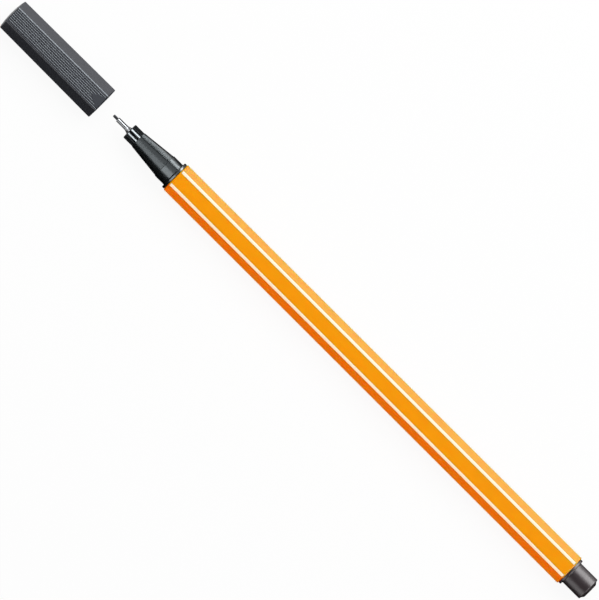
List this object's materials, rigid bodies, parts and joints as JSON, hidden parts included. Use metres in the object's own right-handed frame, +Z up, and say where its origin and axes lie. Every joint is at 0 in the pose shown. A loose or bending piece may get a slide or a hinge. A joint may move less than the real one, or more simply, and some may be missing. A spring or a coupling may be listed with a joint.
{
  "type": "felt-tip pen",
  "caption": "Slim fineliner with a striped hexagonal barrel, metal-sleeved nib, rear plug and a ribbed hexagonal pull-off cap.",
  "frame": {"origin": "on the table, below the middle of the whole length, with the cap off and lying in line", "axes": "+X along the pen from the nib to the rear plug, +Z up, out of the flat that faces the viewer"},
  "size_m": [0.191, 0.0088, 0.0077],
  "materials": {
    "barrel_orange": "smooth, slightly glossy",
    "stripe_white": "smooth, flush with the barrel",
    "nose_black": "semi-gloss moulding",
    "sleeve_steel": "bright drawn metal",
    "nib_fibre": "ink-soaked plastic fibre",
    "reservoir_fibre": "bonded fibre wadding",
    "reservoir_film": "thin clear film",
    "plug_grey": "satin moulding",
    "cap_grey": "satin moulding with fine ribs",
    "seal_soft": "soft natural plastic"
  },
  "bodies": {
    "pen": {"barrel": "barrel_orange", "edge_stripe_1": "stripe_white", "edge_stripe_2": "stripe_white", "edge_stripe_3": "stripe_white", "edge_stripe_4": "stripe_white", "edge_stripe_5": "stripe_white", "edge_stripe_6": "stripe_white", "nose_section": "nose_black", "tip_sleeve": "sleeve_steel", "writing_nib": "nib_fibre", "ink_reservoir": "reservoir_fibre", "reservoir_film": "reservoir_film", "end_plug": "plug_grey"},
    "cap": {"cap_shell": "cap_grey", "cap_inner_seal": "seal_soft"}
  },
  "joints": [
    {"name": "cap_slide", "type": "slide", "parent": "pen", "child": "cap", "axis": [1, 0, 0], "range_m": [0, 0.0235]}
  ]
}
